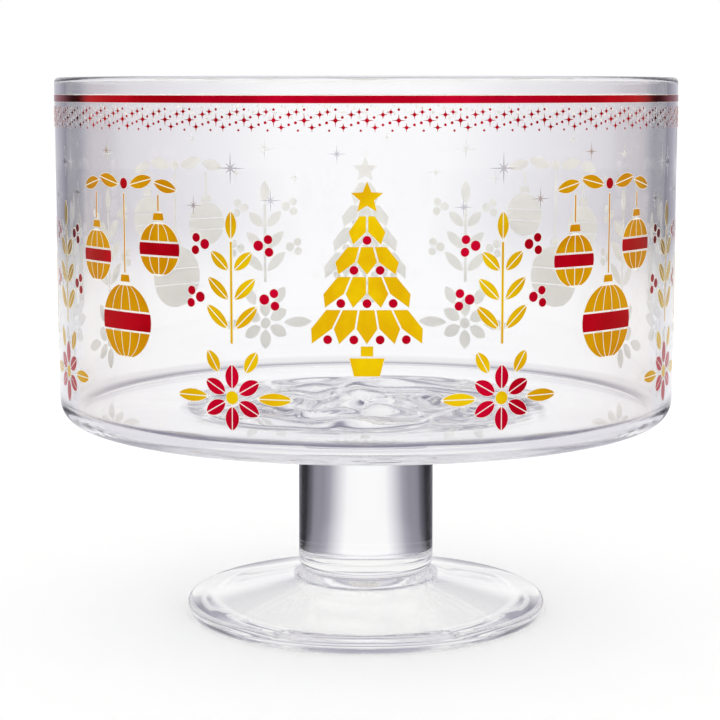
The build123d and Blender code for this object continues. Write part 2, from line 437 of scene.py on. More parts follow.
class TurnedGlass(ABC):
    """One turned piece of glass, with its sizes in metres.

    Attributes:
        node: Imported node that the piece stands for.
    """

    node: ClassVar[str]

    @abstractmethod
    def profile(self) -> Outline:
        """Points of the profile, from axis to axis."""

    @abstractmethod
    def seams(self) -> list[Point]:
        """Level and radius of each fused face."""

    def rise(self, radius: float, level: float, turn: float) -> float:
        """Rise of the surface over its profile at a turn about the axis, none on a plain piece."""
        return 0.0

    def is_seam(self, low: Point, high: Point) -> bool:
        """Tells whether a ring of faces lies in a fused face.

        Args:
            low: Radius and level of one edge of the ring.
            high: Radius and level of its other edge.

        Returns:
            True inside a fused face.
        """
        if abs(low[1] - high[1]) >= NEAR_ZERO:
            return False
        outer = max(low[0], high[0])
        return any(abs(low[1] - z) < LEVEL_MATCH and outer < r + LEVEL_MATCH for z, r in self.seams())

    def ring(self, sheet: bmesh.types.BMesh, radius: float, level: float) -> list[bmesh.types.BMVert]:
        """Adds the points of one ring.

        Args:
            sheet: Mesh that takes the points.
            radius: Radius of the ring.
            level: Height of the ring.

        Returns:
            The points, or a single one on the axis.
        """
        if radius < NEAR_ZERO:
            return [sheet.verts.new((0.0, 0.0, level))]
        points = []
        for k in range(SIDES):
            turn = 2 * math.pi * k / SIDES
            height = level + self.rise(radius, level, turn)
            points.append(sheet.verts.new((radius * math.cos(turn), radius * math.sin(turn), height)))
        return points

    def build(self, glass: bpy.types.Material, seam: bpy.types.Material) -> bpy.types.Object:
        """Makes the closed mesh of the piece and dresses it.

        Args:
            glass: Material of the outside.
            seam: Material of the fused faces.

        Returns:
            The finished object.
        """
        profile = self.profile()
        sheet = bmesh.new()
        rings = [self.ring(sheet, radius, level) for radius, level in profile]
        for low, high, p, q in zip(rings, rings[1:], profile, profile[1:]):
            fused = self.is_seam(p, q)
            for k in range(SIDES):
                after = (k + 1) % SIDES
                below = [low[k % len(low)], low[after % len(low)]]
                above = [high[after % len(high)], high[k % len(high)]]
                face = sheet.faces.new(list(dict.fromkeys(below + above)))
                face.material_index = int(fused)
        bmesh.ops.recalc_face_normals(sheet, faces=sheet.faces)
        mesh = bpy.data.meshes.new(self.node)
        sheet.to_mesh(mesh)
        sheet.free()
        mesh.shade_smooth()
        mesh.set_sharp_from_angle(angle=SHARP_ANGLE)
        mesh.materials.append(glass)
        mesh.materials.append(seam)
        piece = bpy.data.objects.new(f"{self.node}_glass", mesh)
        bpy.context.collection.objects.link(piece)
        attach(piece, ROOT)
        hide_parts(self.node)
        return piece


@dataclass(frozen=True)
class FloorSwirls:
    """Swirls that the hot stem left in the floor of the bowl.

    Attributes:
        reach: Radius of the swirled part, in metres.
        fade: Width of the ring in which the swirls fade out.
        height: Height of the wide swirls.
        wide_pitch: Distance between wide swirls, in millimetres.
        wide_arms: Arms of the wide swirls.
        wide_bend: Size and number of their bends.
        fine_pitch: Distance between fine swirls, in millimetres.
        fine_arms: Arms of the fine swirls, which turn the other way.
        fine_bend: Size and number of their bends.
        fine_share: Height of the fine swirls as a share of the wide ones'.
    """

    reach: float = 68.0 * MM
    fade: float = 12.0 * MM
    height: float = 1.0 * MM
    wide_pitch: float = 26.0
    wide_arms: int = 2
    wide_bend: tuple[float, int] = (0.9, 3)
    fine_pitch: float = 40.0
    fine_arms: int = 5
    fine_bend: tuple[float, int] = (0.8, 2)
    fine_share: float = 0.7

    def rise(self, radius: float, turn: float) -> float:
        """Rise of the floor.

        Args:
            radius: Distance from the axis.
            turn: Turn about the axis in radians.

        Returns:
            The rise, which fades out towards the heel.
        """
        if radius > self.reach:
            return 0.0
        fade = min(1.0, (self.reach - radius) / self.fade)
        along = 2 * math.pi * radius / MM
        wide_bend = self.wide_bend[0] * math.sin(self.wide_bend[1] * turn)
        fine_bend = self.fine_bend[0] * math.sin(self.fine_bend[1] * turn)
        wide = math.sin(along / self.wide_pitch + self.wide_arms * turn + wide_bend)
        fine = math.sin(along / self.fine_pitch - self.fine_arms * turn + fine_bend)
        return self.height * fade * fade * (3 - 2 * fade) * (wide + self.fine_share * fine)


@dataclass
class Bowl(TurnedGlass):
    """Straight-sided bowl with a rounded heel and a flat floor that holds swirls.

    Attributes:
        radius: Outside radius of the wall.
        height: Level of the rim.
        base_level: Level of the underside.
        stem_radius: Radius of the fused face on the underside.
        wall: Thickness of the wall.
        rim_round: Rounding of both edges of the rim.
        heel_round: Rounding of the heel outside.
        inner_heel_round: Rounding of the heel inside.
        floor_thickness: Thickness of the floor.
        round_step: Angle between the points of a rounding, in radians.
        run_step: Longest straight run of the profile.
        swirls: Swirls in the floor.
    """

    node: ClassVar[str] = "bowl"
    radius: float
    height: float
    base_level: float
    stem_radius: float
    wall: float = 3.6 * MM
    rim_round: float = 1.75 * MM
    heel_round: float = 8.0 * MM
    inner_heel_round: float = 4.4 * MM
    floor_thickness: float = 4.2 * MM
    round_step: float = math.radians(6)
    run_step: float = 1.5 * MM
    swirls: FloorSwirls = FloorSwirls()

    @property
    def floor(self) -> float:
        """Level of the floor inside."""
        return self.base_level + self.floor_thickness

    def profile(self) -> Outline:
        """Points of the profile, from the underside round the rim to the floor."""
        inner = self.radius - self.wall
        corners = (
            (0.0, self.base_level, 0.0),
            (self.stem_radius, self.base_level, 0.0),
            (self.radius, self.base_level, self.heel_round),
            (self.radius, self.height, self.rim_round),
            (inner, self.height, self.rim_round),
            (inner, self.floor, self.inner_heel_round),
            (0.0, self.floor, 0.0),
        )
        return divided(rounded_profile(corners, self.round_step), self.run_step)

    def seams(self) -> list[Point]:
        """The fused face over the stem."""
        return [(self.base_level, self.stem_radius)]

    def rise(self, radius: float, level: float, turn: float) -> float:
        """Rise of the swirls, on the floor alone.

        Args:
            radius: Distance from the axis.
            level: Height of the point.
            turn: Turn about the axis in radians.

        Returns:
            The rise over the profile.
        """
        on_floor = abs(level - self.floor) <= LEVEL_MATCH
        return self.swirls.rise(radius, turn) if on_floor else 0.0


@dataclass
class Stem(TurnedGlass):
    """Solid stem with a rounded lower edge.

    Attributes:
        radius: Radius of the stem.
        low: Level of the lower end.
        high: Level of the upper end.
        edge_round: Rounding of the lower edge.
        round_step: Angle between the points of a rounding, in radians.
    """

    node: ClassVar[str] = "stem"
    radius: float
    low: float
    high: float
    edge_round: float = 1.2 * MM
    round_step: float = math.radians(8)

    @property
    def seat_radius(self) -> float:
        """Radius of the fused face at the lower end."""
        return self.radius - self.edge_round

    def profile(self) -> Outline:
        """Points of the profile, from the lower end to the upper one."""
        corners = (
            (0.0, self.low, 0.0),
            (self.radius, self.low, self.edge_round),
            (self.radius, self.high, 0.0),
            (0.0, self.high, 0.0),
        )
        return rounded_profile(corners, self.round_step)

    def seams(self) -> list[Point]:
        """The fused faces at both ends."""
        return [(self.low, self.seat_radius), (self.high, self.radius)]


@dataclass
class Foot(TurnedGlass):
    """Low conical foot with a flared neck, a rounded lip and a shallow hollow.

    Attributes:
        radius: Outside radius.
        top: Level of the fused face under the stem.
        seat_radius: Radius of that face.
        neck_height: Height of the upright part of the neck.
        neck_flare: Width of its flare.
        neck_drop: Height of its flare.
        neck_round: Rounding at both ends of the flare.
        lip_height: Level of the lip's upper edge.
        lip_top_round: Rounding of that edge.
        lip_bottom_round: Rounding of the lower edge.
        rest_inner_radius: Inner radius of the ring that the foot rests on.
        hollow_height: Height of the hollow.
        hollow_slope: Width of the hollow's sloping side.
        hollow_round: Rounding at the top of that side.
        round_step: Angle between the points of a rounding, in radians.
        run_step: Longest straight run of the profile.
    """

    node: ClassVar[str] = "foot"
    radius: float
    top: float
    seat_radius: float
    neck_height: float = 1.4 * MM
    neck_flare: float = 3.2 * MM
    neck_drop: float = 2.4 * MM
    neck_round: float = 1.6 * MM
    lip_height: float = 4.4 * MM
    lip_top_round: float = 2.4 * MM
    lip_bottom_round: float = 1.3 * MM
    rest_inner_radius: float = 54.0 * MM
    hollow_height: float = 7.5 * MM
    hollow_slope: float = 33.0 * MM
    hollow_round: float = 20.0 * MM
    round_step: float = math.radians(8)
    run_step: float = 4.0 * MM

    def profile(self) -> Outline:
        """Points of the profile, from the neck round the lip to the hollow."""
        neck_level = self.top - self.neck_height
        corners = (
            (0.0, self.top, 0.0),
            (self.seat_radius, self.top, 0.0),
            (self.seat_radius, neck_level, self.neck_round),
            (self.seat_radius + self.neck_flare, neck_level - self.neck_drop, self.neck_round),
            (self.radius, self.lip_height, self.lip_top_round),
            (self.radius, 0.0, self.lip_bottom_round),
            (self.rest_inner_radius, 0.0, 0.0),
            (self.rest_inner_radius - self.hollow_slope, self.hollow_height, self.hollow_round),
            (0.0, self.hollow_height, 0.0),
        )
        return divided(rounded_profile(corners, self.round_step), self.run_step)

    def seams(self) -> list[Point]:
        """The fused face under the stem."""
        return [(self.top, self.seat_radius)]


@dataclass
class Glassware:
    """The three fused pieces of glass.

    Attributes:
        bowl: The bowl.
        stem: The stem under it.
        foot: The foot under the stem.
    """

    bowl: Bowl
    stem: Stem
    foot: Foot

    @classmethod
    def from_frame(cls) -> "Glassware":
        """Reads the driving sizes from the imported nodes.

        Returns:
            The glass in the shared frame.
        """
        bowl_low, bowl_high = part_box("bowl")
        stem_low, stem_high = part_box("stem")
        foot_low, foot_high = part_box("foot")
        stem = Stem((stem_high[0] - stem_low[0]) / 2, stem_low[2], bowl_low[2])
        bowl = Bowl((bowl_high[0] - bowl_low[0]) / 2, bowl_high[2], bowl_low[2], stem.radius)
        foot = Foot((foot_high[0] - foot_low[0]) / 2, stem_low[2], stem.seat_radius)
        return cls(bowl, stem, foot)

    def build(self) -> list[bpy.types.Object]:
        """Builds and dresses the three pieces.

        Returns:
            The finished objects.
        """
        glass = GlassFinish().material()
        seam = SeamFinish().material()
        return [piece.build(glass, seam) for piece in (self.bowl, self.stem, self.foot)]


# Outlines of the decoration, in millimetres: across the wall, and up it from the bowl's underside

PRINT_MARGIN = 0.16
VEIN = 0.34
FILM_GAP = 0.3
THINNEST_FOIL = 0.12


def spoke(turn: float, reach: float) -> Point:
    """Point at a distance from the origin, in a direction given in degrees."""
    return reach * math.cos(math.radians(turn)), reach * math.sin(math.radians(turn))


def turned(points: Outline, x: float, y: float, turn: float) -> Outline:
    """Turns an outline and moves it to its place.

    Args:
        points: Outline round its own start.
        x: Place across the wall.
        y: Place up the wall.
        turn: Angle in degrees.

    Returns:
        The placed outline.
    """
    ca, sa = spoke(turn, 1.0)
    return [(x + a * ca - b * sa, y + a * sa + b * ca) for a, b in points]


def inset(points: Outline, depth: float) -> Outline:
    """Moves the sides of a counter-clockwise outline inwards.

    Args:
        points: Outline.
        depth: Distance that each side moves.

    Returns:
        The smaller outline.
    """
    sharpest_lean = 0.25
    smaller = []
    count = len(points)
    for k in range(count):
        here = Vector(points[k])
        back = (here - Vector(points[k - 1])).normalized()
        ahead = (Vector(points[(k + 1) % count]) - here).normalized()
        normal = Vector((-back.y - ahead.y, back.x + ahead.x)).normalized()
        lean = max(sharpest_lean, normal.dot(Vector((-ahead.y, ahead.x))))
        smaller.append(tuple(here + normal * depth / lean))
    return smaller


@dataclass(frozen=True)
class Leaf:
    """Pointed leaf made of two arcs.

    Attributes:
        x: Start across the wall.
        y: Start up the wall.
        length: Length of the leaf.
        width: Greatest width.
        turn: Direction in degrees.
        edge_step: Length of a side of its outline.
        edge_sides: Fewest sides along an arc of its outline.
        foil_step: Length of a side of its foil.
        foil_sides: Fewest sides along an arc of its foil.
        foil_tip: How far the foil's points reach past its arc along the vein.
    """

    x: float
    y: float
    length: float
    width: float
    turn: float
    edge_step: float = 0.9
    edge_sides: int = 6
    foil_step: float = 0.6
    foil_sides: int = 10
    foil_tip: float = 0.2

    def half_width(self, along: float, margin: float) -> float:
        """Half width of the leaf, less a margin along both arcs.

        Args:
            along: Distance from the start of the leaf.
            margin: Width of the margin.

        Returns:
            The half width, which is negative past the ends of the smaller leaf.
        """
        arc = (self.length * self.length / 4 + self.width * self.width / 4) / self.width
        inner = (arc - margin) ** 2 - (along - self.length / 2) ** 2
        return math.sqrt(max(inner, 0.0)) - (arc - self.width / 2)

    def stations(self, steps: int) -> list[float]:
        """Even distances along the leaf."""
        return [self.length * k / steps for k in range(steps + 1)]

    def outline(self) -> Outline:
        """Whole outline of the leaf.

        Returns:
            The placed outline.
        """
        along = self.stations(max(self.edge_sides, round(self.length / self.edge_step)))
        lower = [(a, -max(0.0, self.half_width(a, 0.0))) for a in along]
        upper = [(a, -b) for a, b in reversed(lower[1:-1])]
        return turned(lower + upper, self.x, self.y, self.turn)

    def halves(self) -> list[Outline]:
        """Foil of the leaf, in two halves with a bare vein between them.

        Returns:
            Outlines of the two halves.
        """
        vein = VEIN / 2
        along = self.stations(max(self.foil_sides, round(self.length / self.foil_step)))
        arc = [(a, self.half_width(a, PRINT_MARGIN)) for a in along]
        arc = [(a, b) for a, b in arc if b > vein + THINNEST_FOIL]
        ends = [(arc[-1][0] + self.foil_tip, -vein), (arc[0][0] - self.foil_tip, -vein)]
        right = [(a, -b) for a, b in arc] + ends
        left = [(a, -b) for a, b in reversed(right)]
        return [turned(half, self.x, self.y, self.turn) for half in (right, left)]


def dot(x: float, y: float, radius: float) -> Outline:
    """Round spot.

    Args:
        x: Centre across the wall.
        y: Centre up the wall.
        radius: Its radius.

    Returns:
        Its outline.
    """
    side = 0.55
    fewest = 12
    steps = max(fewest, round(2 * math.pi * radius / side))
    turns = [2 * math.pi * k / steps for k in range(steps)]
    return [(x + radius * math.cos(turn), y + radius * math.sin(turn)) for turn in turns]


def star(x: float, y: float, radius: float, inner: float, points: int) -> Outline:
    """Star with straight sides and one point upwards.

    Args:
        x: Centre across the wall.
        y: Centre up the wall.
        radius: Radius of the points.
        inner: Radius of the notches.
        points: Number of points.

    Returns:
        Its outline.
    """
    outline = []
    for k in range(2 * points):
        size = radius if k % 2 == 0 else inner
        angle = math.pi / 2 + math.pi * k / points
        outline.append((x + size * math.cos(angle), y + size * math.sin(angle)))
    return outline


def twinkle(x: float, y: float, radius: float, short: float, core: float, spread: float) -> Outline:
    """Twinkling star: a round core with four long rays and four short ones between them.

    Args:
        x: Centre across the wall.
        y: Centre up the wall.
        radius: Reach of the long rays.
        short: Reach of the short rays, which equals the core where there are none.
        core: Radius of the core.
        spread: Angle from the middle of a long ray to its root, in degrees.

    Returns:
        Its outline.
    """
    outline = []
    for quarter in range(4):
        for angle, size in ((0.0, radius), (spread, core), (45.0, short), (90.0 - spread, core)):
            across, up = spoke(90.0 * (quarter + 1) + angle, size)
            outline.append((x + across, y + up))
    return outline


def box(x: float, low: float, high: float, low_width: float, high_width: float) -> Outline:
    """Upright four-sided piece.

    Args:
        x: Middle across the wall.
        low: Lower edge.
        high: Upper edge.
        low_width: Width of the lower edge.
        high_width: Width of the upper edge.

    Returns:
        Its outline.
    """
    return [
        (x - low_width / 2, low),
        (x + low_width / 2, low),
        (x + high_width / 2, high),
        (x - high_width / 2, high),
    ]


def arch(centre: Point, radius: float, low: float, high: float, sides: Point, gap: float) -> Outline:
    """Part of a ball between two levels and two of its meridians.

    Args:
        centre: Centre of the ball.
        radius: Radius of the ball.
        low: Lower level from the centre.
        high: Upper level from the centre.
        sides: Left and right meridian, as shares of the half width.
        gap: Bare strip along both meridians.

    Returns:
        Its outline.
    """
    side = 0.6
    fewest = 4
    x, y = centre
    steps = max(fewest, round((high - low) / side))
    left = []
    right = []
    for k in range(steps + 1):
        level = low + (high - low) * k / steps
        half = math.sqrt(max(radius * radius - level * level, 0.0))
        start = sides[0] * half + gap
        end = sides[1] * half - gap
        if end - start > THINNEST_FOIL:
            left.append((x + start, y + level))
            right.append((x + end, y + level))
    return right + left[::-1]


# Films


@dataclass
class Drawing:
    """Flat drawing of one group of films, before it is laid on the wall.

    Attributes:
        under_print: Outlines of the white print.
        foil: Outlines of the foil on top of it.
    """

    PRINT_SPAN: ClassVar[Span] = (0.0, 0.045)
    FOIL_SPAN: ClassVar[Span] = (0.055, 0.095)
    CUT_STEP: ClassVar[float] = 1.6
    CUT_MATCH: ClassVar[float] = 1e-9

    under_print: list[Outline] = field(default_factory=list)
    foil: list[Outline] = field(default_factory=list)

    def add(self, outline: Outline, margin: float = PRINT_MARGIN) -> None:
        """Adds a film with foil all over but for a narrow white margin.

        Args:
            outline: Outline of the film.
            margin: Width of the white margin.
        """
        self.under_print.append(outline)
        self.foil.append(inset(outline, margin))

    def add_bare(self, outline: Outline) -> None:
        """Adds a fine film with no white margin."""
        self.under_print.append(outline)
        self.foil.append(outline)

    def add_leaf(self, x: float, y: float, length: float, width: float, turn: float) -> None:
        """Adds a leaf with a bare vein.

        Args:
            x: Start across the wall.
            y: Start up the wall.
            length: Length of the leaf.
            width: Greatest width.
            turn: Direction in degrees.
        """
        leaf = Leaf(x, y, length, width, turn)
        self.under_print.append(leaf.outline())
        self.foil.extend(leaf.halves())

    def layer_mesh(self, outlines: list[Outline], span: Span, is_foil: bool) -> bpy.types.Mesh:
        """Makes the closed flat films of one layer, cut into strips narrow enough to bend.

        Args:
            outlines: Outlines of the films.
            span: Lower and upper side of the layer.
            is_foil: Mark that the faces get.

        Returns:
            Mesh with its width along X, its thickness along Y and its height along Z.
        """
        low, high = span
        sheet = bmesh.new()
        mark = sheet.faces.layers.bool.new("foil")
        for outline in outlines:
            sheet.faces.new([sheet.verts.new((x * MM, low * MM, y * MM)) for x, y in outline])
        sheet.normal_update()
        bmesh.ops.triangulate(sheet, faces=sheet.faces, ngon_method="EAR_CLIP")
        reach = max(abs(v.co.x) for v in sheet.verts) / MM
        cuts = math.floor(reach / self.CUT_STEP)
        for k in range(-cuts, cuts + 1):
            everything = [*sheet.verts, *sheet.edges, *sheet.faces]
            cut = ((k + 0.5) * self.CUT_STEP * MM, 0, 0)
            bmesh.ops.bisect_plane(
                sheet, geom=everything, dist=self.CUT_MATCH, plane_co=cut, plane_no=(1, 0, 0)
            )
        made = bmesh.ops.extrude_face_region(sheet, geom=sheet.faces[:], use_keep_orig=True)
        risen = [v for v in made["geom"] if isinstance(v, bmesh.types.BMVert)]
        bmesh.ops.translate(sheet, verts=risen, vec=(0, (high - low) * MM, 0))
        bmesh.ops.recalc_face_normals(sheet, faces=sheet.faces)
        for face in sheet.faces:
            face[mark] = is_foil
        mesh = bpy.data.meshes.new("film_layer")
        sheet.to_mesh(mesh)
        sheet.free()
        return mesh

    def flat_mesh(self, name: str) -> bpy.types.Mesh:
        """Makes both layers of the films, still flat.

        Args:
            name: Name of the mesh.

        Returns:
            The mesh, with a foil mark on its faces.
        """
        sheet = bmesh.new()
        sheet.faces.layers.bool.new("foil")
        layers = ((self.under_print, self.PRINT_SPAN, False), (self.foil, self.FOIL_SPAN, True))
        for outlines, span, is_foil in layers:
            layer = self.layer_mesh(outlines, span, is_foil)
            sheet.from_mesh(layer)
            bpy.data.meshes.remove(layer)
        mesh = bpy.data.meshes.new(name)
        sheet.to_mesh(mesh)
        sheet.free()
        return mesh


@dataclass
class Film:
    """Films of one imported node.

    Attributes:
        node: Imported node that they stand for.
        slot: Record slot of their foil.
        drawing: Flat drawing of one copy.
    """

    node: str
    slot: Slot
    drawing: Drawing = field(default_factory=Drawing)


@dataclass(frozen=True)
class Wall:
    """The wall that the films lie on.

    Attributes:
        radius: Its outside radius in metres.
        low: Level of the bowl's underside in metres.
        high: Level of the rim in metres.
    """

    radius: float
    low: float
    high: float

    @property
    def girth(self) -> float:
        """Length round the wall in millimetres."""
        return 2 * math.pi * self.radius / MM

    @property
    def height(self) -> float:
        """Height of the wall in millimetres."""
        return (self.high - self.low) / MM


class WallWrap:
    """Geometry node tree that repeats a flat drawing and lays it on the round wall."""

    STANDOFF: ClassVar[float] = 0.03 * MM
    SIZES: ClassVar[tuple[str, ...]] = ("Pitch", "Start Turn", "Wall Radius", "Wall Foot", "Standoff")

    def __init__(self, wall: Wall) -> None:
        """Builds the tree for a wall.

        Args:
            wall: Wall that the drawings are laid on.
        """
        self.wall = wall
        self.tree = bpy.data.node_groups.new("lay_on_wall", "GeometryNodeTree")
        self.ids: dict[str, str] = {}
        self._add_sockets()
        self._add_nodes()

    def _add_sockets(self) -> None:
        """Adds the named inputs and the output."""
        kinds = {"Geometry": "NodeSocketGeometry", "Copies": "NodeSocketInt"}
        kinds.update({name: "NodeSocketFloat" for name in self.SIZES})
        kinds.update({name: "NodeSocketMaterial" for name in ("Under-print", "Foil")})
        interface = self.tree.interface
        interface.new_socket("Geometry", in_out="OUTPUT", socket_type="NodeSocketGeometry")
        for name, kind in kinds.items():
            self.ids[name] = interface.new_socket(name, in_out="INPUT", socket_type=kind).identifier

    def _add_nodes(self) -> None:
        """Adds the nodes: repeat, realise, bend round the wall, give materials."""
        bench = NodeBench(self.tree)
        given = bench.add("NodeGroupInput").outputs
        pitch = bench.add("ShaderNodeCombineXYZ", {"X": given["Pitch"]})
        line = bench.add("GeometryNodeMeshLine", {"Count": given["Copies"], "Offset": pitch.outputs[0]})
        spots = {"Points": line.outputs["Mesh"], "Instance": given["Geometry"]}
        repeat = bench.add("GeometryNodeInstanceOnPoints", spots)
        real = bench.add("GeometryNodeRealizeInstances", {"Geometry": repeat.outputs["Instances"]})
        position = bench.add("GeometryNodeInputPosition").outputs[0]
        place = bench.add("ShaderNodeSeparateXYZ", {0: position}).outputs
        turn = bench.math("ADD", given["Start Turn"], bench.math("DIVIDE", place["X"], given["Wall Radius"]))
        lifted = bench.math("ADD", place["Y"], given["Standoff"])
        radius = bench.math("ADD", given["Wall Radius"], lifted)
        bent = bench.add("ShaderNodeCombineXYZ", {
            "X": bench.math("MULTIPLY", radius, bench.math("COSINE", turn)),
            "Y": bench.math("MULTIPLY", radius, bench.math("SINE", turn)),
            "Z": bench.math("ADD", place["Z"], given["Wall Foot"]),
        })
        spots = {"Geometry": real.outputs[0], "Position": bent.outputs[0]}
        laid = bench.add("GeometryNodeSetPosition", spots)
        dress = {"Geometry": laid.outputs[0], "Material": given["Under-print"]}
        under = bench.add("GeometryNodeSetMaterial", dress)
        mark = bench.add("GeometryNodeInputNamedAttribute", {"Name": "foil"})
        mark.data_type = "BOOLEAN"
        marked = mark.outputs["Attribute"]
        dress = {"Geometry": under.outputs[0], "Selection": marked, "Material": given["Foil"]}
        foil = bench.add("GeometryNodeSetMaterial", dress)
        bench.add("NodeGroupOutput", {"Geometry": foil.outputs[0]})

    def lay(
        self,
        film: Film,
        copies: int,
        start: float,
        under_print: bpy.types.Material,
        foil: bpy.types.Material,
    ) -> bpy.types.Object:
        """Lays a film on the wall, evenly repeated all round.

        Args:
            film: Film with its flat drawing.
            copies: Number of copies round the bowl.
            start: Angle of the first copy from the front, in degrees.
            under_print: Material of the under-print.
            foil: Material of the foil.

        Returns:
            The finished object, a plain mesh.
        """
        name = f"{film.node}_film"
        flat = bpy.data.objects.new(f"{name}_flat", film.drawing.flat_mesh(f"{name}_flat"))
        bpy.context.collection.objects.link(flat)
        modifier = flat.modifiers.new("lay_on_wall", "NODES")
        modifier.node_group = self.tree
        values = {
            "Copies": copies,
            "Pitch": 2 * math.pi * self.wall.radius / copies,
            "Start Turn": math.radians(start + FRONT_TURN),
            "Wall Radius": self.wall.radius,
            "Wall Foot": self.wall.low,
            "Standoff": self.STANDOFF,
            "Under-print": under_print,
            "Foil": foil,
        }
        for label, value in values.items():
            modifier[self.ids[label]] = value
        flat.update_tag()
        graph = bpy.context.evaluated_depsgraph_get()
        mesh = bpy.data.meshes.new_from_object(flat.evaluated_get(graph))
        flat_mesh = flat.data
        flat.modifiers.clear()
        bpy.data.objects.remove(flat)
        bpy.data.meshes.remove(flat_mesh)
        mesh.shade_smooth()
        mesh.set_sharp_from_angle(angle=SHARP_ANGLE)
        piece = bpy.data.objects.new(name, mesh)
        bpy.context.collection.objects.link(piece)
        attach(piece, ROOT)
        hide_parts(film.node)
        return piece


# Decoration, with all sizes in millimetres

COLUMNS = 8


@dataclass(frozen=True)
class Motif(ABC):
    """Motif that is repeated evenly round the wall.

    Attributes:
        copies: Number of copies.
        start: Place of the first copy, in columns from the front.
    """

    copies: int
    start: float

    @abstractmethod
    def films(self, wall: Wall) -> list[Film]:
        """Draws the films of one copy."""


@dataclass(frozen=True)
class RimStripe(Motif):
    """Red stripe below the rim, in one stretch for each column.

    Attributes:
        drop: Distance of its upper edge from the rim.
        width: Width of the stripe.
    """

    copies: int = COLUMNS
    start: float = 0.0
    drop: float = 5.8
    width: float = 2.4

    def films(self, wall: Wall) -> list[Film]:
        """Draws one stretch.

        Args:
            wall: Wall that it goes round.

        Returns:
            Its film.
        """
        stripe = Film("rim_stripe", Slot.RED)
        length = wall.girth / self.copies
        top = wall.height - self.drop
        margin = PRINT_MARGIN / 2
        stripe.drawing.under_print.append(box(0.0, top - self.width, top, length, length))
        stripe.drawing.foil.append(box(0.0, top - self.width + margin, top - margin, length, length))
        return [stripe]


@dataclass(frozen=True)
class Border(Motif):
    """Border of twinkling red stars among small dots.

    Attributes:
        drop: Distance of its middle from the rim.
        spread: Angle from the middle of a ray to its root, in degrees.
        stars: Place across in pitches, rise, reach and core of each star.
        dots: Place across in pitches, rise and radius of each dot.
    """

    copies: int = 72
    start: float = 0.0
    drop: float = 13.2
    spread: float = 15.0
    stars: tuple[Quad, ...] = (
        (0.0, 0.0, 2.1, 0.66),
        (0.5, 1.7, 1.5, 0.56),
        (0.25, -2.1, 1.5, 0.56),
        (-0.25, 2.5, 1.2, 0.5),
    )
    dots: tuple[Triple, ...] = (
        (0.22, 0.9, 0.42),
        (-0.28, -0.7, 0.46),
        (0.5, -1.3, 0.42),
        (0.0, 3.2, 0.4),
        (-0.2, -3.0, 0.36),
    )

    def films(self, wall: Wall) -> list[Film]:
        """Draws one repeat.

        Args:
            wall: Wall that it goes round.

        Returns:
            Its film.
        """
        border = Film("border_lozenges", Slot.RED)
        level = wall.height - self.drop
        pitch = wall.girth / self.copies
        for across, lift, reach, core in self.stars:
            border.drawing.add_bare(twinkle(across * pitch, level + lift, reach, core, core, self.spread))
        for across, lift, radius in self.dots:
            border.drawing.add_bare(dot(across * pitch, level + lift, radius))
        return [border]


@dataclass(frozen=True)
class FirTrees(Motif):
    """Fir trees of separate boughs, each with a pot, a trunk and a star.

    Attributes:
        pot: Lower and upper edge of the pot, and its widths there.
        trunk_top: Upper end of the trunk.
        trunk_width: Width of the trunk.
        star: Level, radius, notch radius and points of the star.
        tiers: Lower and upper level, widths there and bough count of each tier.
        shoulder: Level of a bough's widest part, as a share of its height.
        bauble_radius: Radius of the baubles.
        bauble_lift: Distance of the baubles from the lower end of a tier.
    """

    copies: int = 2
    start: float = 0.0
    pot: Quad = (28.6, 34.4, 8.0, 11.0)
    trunk_top: float = 38.0
    trunk_width: float = 4.0
    star: tuple[float, float, float, int] = (82.4, 5.4, 2.4, 5)
    tiers: tuple[tuple[float, float, float, float, int], ...] = (
        (38.3, 49.0, 42.0, 25.0, 5),
        (49.3, 59.0, 34.0, 18.0, 4),
        (59.3, 68.0, 26.0, 12.0, 3),
        (68.3, 77.2, 17.0, 5.0, 2),
    )
    shoulder: float = 0.45
    bauble_radius: float = 1.5
    bauble_lift: float = 1.55

    def films(self, wall: Wall) -> list[Film]:
        """Draws one tree.

        Args:
            wall: Wall that it stands on; not used.

        Returns:
            Its gold and its red film.
        """
        gold = Film("fir_tree_foil", Slot.GOLD)
        red = Film("fir_tree_baubles", Slot.RED)
        gold.drawing.add(box(0, *self.pot))
        trunk_low = self.pot[1] + FILM_GAP
        gold.drawing.add(box(0, trunk_low, self.trunk_top, self.trunk_width, self.trunk_width))
        gold.drawing.add(star(0, *self.star))
        for low, high, low_width, high_width, count in self.tiers:
            level = low + self.shoulder * (high - low)
            width = high_width + (low_width - high_width) * (1 - self.shoulder)
            half_top = high_width / count / 2 - FILM_GAP / 2
            half_low = width / count / 2 - FILM_GAP / 2
            for k in range(count):
                middle = (k + 0.5) / count - 0.5
                gold.drawing.add([
                    (low_width * middle, low),
                    (width * middle + half_low, level),
                    (high_width * middle + half_top, high),
                    (high_width * middle - half_top, high),
                    (width * middle - half_low, level),
                ])
            width_there = low_width + self.bauble_lift / (high - low) * (high_width - low_width)
            for k in range(1, count):
                place = width_there * (k / count - 0.5)
                red.drawing.add(dot(place, low + self.bauble_lift, self.bauble_radius))
        return [gold, red]


